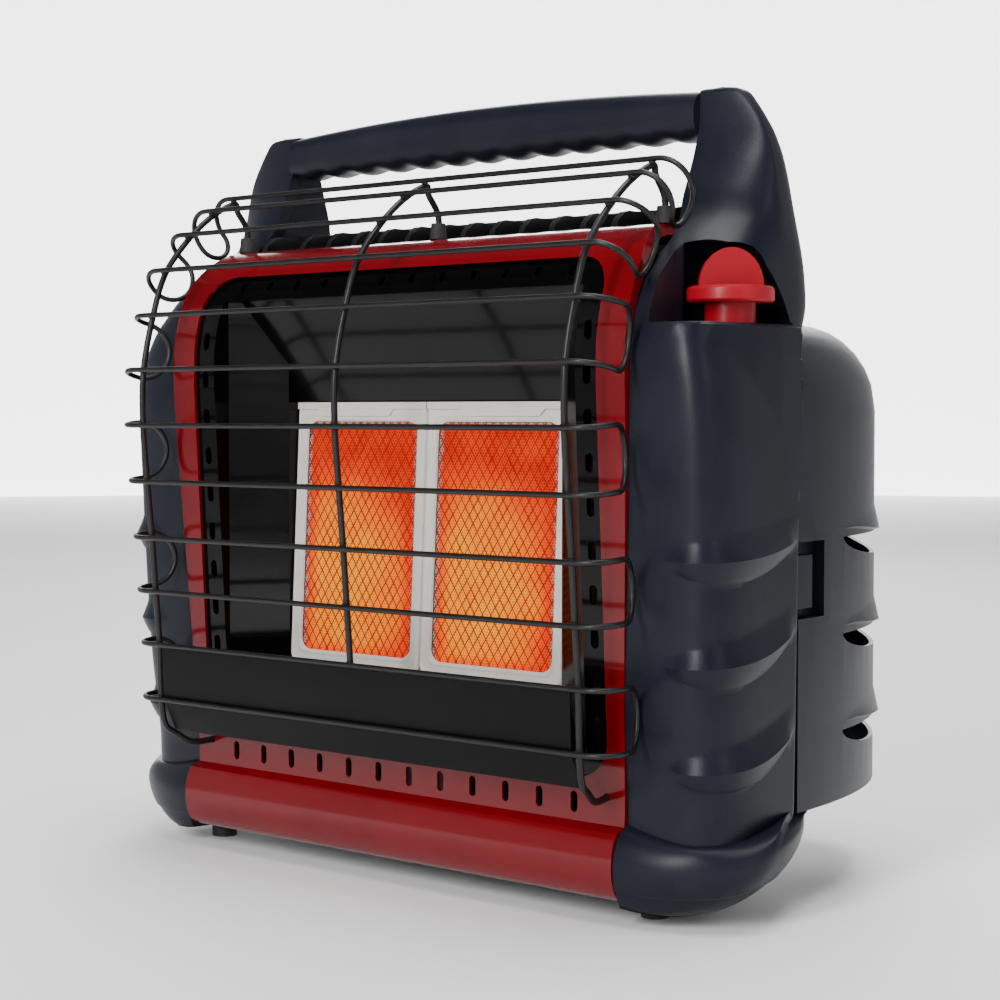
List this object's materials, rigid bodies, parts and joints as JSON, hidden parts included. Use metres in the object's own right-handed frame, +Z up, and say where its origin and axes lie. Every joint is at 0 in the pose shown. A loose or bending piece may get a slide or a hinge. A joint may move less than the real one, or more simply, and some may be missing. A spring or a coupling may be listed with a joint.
{
  "type": "portable propane heater",
  "caption": "Portable twin-cylinder radiant propane heater with wire guard, carry handle, control knob, rear fan and swinging cylinder doors.",
  "frame": {"origin": "on the ground under the middle of the body, at the centre of the overall box", "axes": "+Z up; front faces -Y; +X to the right as seen from the front"},
  "size_m": [0.456, 0.2971, 0.4347],
  "materials": {
    "black_steel": "satin powder coat",
    "red_enamel": "gloss enamel",
    "black_enamel": "satin heat-proof enamel",
    "guard_wire": "satin powder coat",
    "charcoal_plastic": "fine moulded texture, satin",
    "black_plastic": "matte moulded",
    "red_plastic": "semi-gloss moulded",
    "black_rubber": "matte",
    "aluminised_steel": "dull rolled",
    "zinc_steel": "bright zinc",
    "spring_steel": "bright drawn",
    "cast_aluminium": "die-cast, blasted",
    "brass": "machined",
    "white_ceramic": "glazed insulator",
    "ceramic_glow": "perforated, glowing",
    "hot_mesh": "heat-tinted wire mesh"
  },
  "bodies": {
    "chassis": {"case_shell": "black_steel", "base_pan": "black_steel", "front_panel": "red_enamel", "reflector_pan": "black_enamel", "top_cover": "black_steel", "vent_deck": "black_enamel", "side_panel_right": "charcoal_plastic", "side_panel_left": "charcoal_plastic", "handle_grip": "charcoal_plastic", "handle_rod": "zinc_steel", "guard_loops": "guard_wire", "guard_uprights": "guard_wire", "guard_plate": "guard_wire", "guard_boots": "black_rubber", "burner_plenum": "aluminised_steel", "burner_frames": "aluminised_steel", "tile_right": "ceramic_glow", "tile_left": "ceramic_glow", "tile_screens": "hot_mesh", "mixer_tubes": "aluminised_steel", "orifices": "brass", "gas_manifold": "brass", "heat_shield": "aluminised_steel", "gas_valve": "cast_aluminium", "piezo_igniter": "white_ceramic", "knob_spring": "spring_steel", "pilot_bracket": "aluminised_steel", "pilot_burner": "brass", "spark_electrode": "white_ceramic", "thermocouple": "brass", "tip_switch": "black_plastic", "fan_frame": "black_plastic", "fan_motor": "zinc_steel", "rear_grille": "guard_wire", "battery_box": "black_plastic", "battery_contacts": "spring_steel", "switch_housing": "black_plastic", "swivel_posts": "brass", "hinge_lugs": "black_steel", "hinge_pins": "zinc_steel", "feet": "black_rubber", "case_screws": "zinc_steel"},
    "spindle": {"valve_spindle": "zinc_steel"},
    "knob": {"control_knob": "red_plastic", "knob_stem": "zinc_steel"},
    "door_right": {"door_right": "charcoal_plastic", "door_hinge_right": "charcoal_plastic"},
    "door_left": {"door_left": "charcoal_plastic", "door_hinge_left": "charcoal_plastic"},
    "latch_right": {"latch_right": "charcoal_plastic"},
    "latch_left": {"latch_left": "charcoal_plastic"},
    "regulator_right": {"regulator_right": "cast_aluminium"},
    "regulator_left": {"regulator_left": "cast_aluminium"},
    "fan": {"fan_rotor": "black_plastic"},
    "battery_door": {"battery_door": "charcoal_plastic"},
    "rocker": {"fan_rocker": "black_plastic"}
  },
  "joints": [
    {"name": "knob_turn", "type": "hinge", "parent": "chassis", "child": "spindle", "pos_m": [0.19, -0.0495, 0.25], "axis": [0, 0, 1], "range_deg": [0, 180]},
    {"name": "knob_push", "type": "slide", "parent": "spindle", "child": "knob", "axis": [0, 0, -1], "range_m": [0, 0.005], "stiffness_N_per_m": 400, "springref_m": -0.004, "deforming": ["knob_spring"]},
    {"name": "door_right_swing", "type": "hinge", "parent": "chassis", "child": "door_right", "pos_m": [0.084, 0.074, 0.15], "axis": [0, 0, 1], "range_deg": [0, 85]},
    {"name": "door_left_swing", "type": "hinge", "parent": "chassis", "child": "door_left", "pos_m": [-0.084, 0.074, 0.15], "axis": [0, 0, -1], "range_deg": [0, 85]},
    {"name": "latch_right_pull", "type": "slide", "parent": "door_right", "child": "latch_right", "axis": [0, 1, 0], "range_m": [0, 0.006], "stiffness_N_per_m": 200, "springref_m": -0.004},
    {"name": "latch_left_pull", "type": "slide", "parent": "door_left", "child": "latch_left", "axis": [0, 1, 0], "range_m": [0, 0.006], "stiffness_N_per_m": 200, "springref_m": -0.004},
    {"name": "regulator_right_swing", "type": "hinge", "parent": "chassis", "child": "regulator_right", "pos_m": [0.149, 0.034, 0.27], "axis": [0, 0, -1], "range_deg": [0, 90]},
    {"name": "regulator_left_swing", "type": "hinge", "parent": "chassis", "child": "regulator_left", "pos_m": [-0.149, 0.034, 0.27], "axis": [0, 0, 1], "range_deg": [0, 90]},
    {"name": "fan_spin", "type": "hinge", "parent": "chassis", "child": "fan", "pos_m": [0, 0.06, 0.205], "axis": [0, 1, 0], "continuous": true},
    {"name": "battery_door_swing", "type": "hinge", "parent": "chassis", "child": "battery_door", "pos_m": [0, 0.0686, 0.0208], "axis": [-1, 0, 0], "range_deg": [0, 100]},
    {"name": "fan_switch", "type": "hinge", "parent": "chassis", "child": "rocker", "pos_m": [-0.046, 0.0626, 0.128], "axis": [0, 0, 1], "range_deg": [-12, 12]}
  ],
  "couplings": [
    {"joint": "regulator_right_swing", "follows": "door_right_swing", "ratio": 1.0588},
    {"joint": "regulator_left_swing", "follows": "door_left_swing", "ratio": 1.0588}
  ]
}
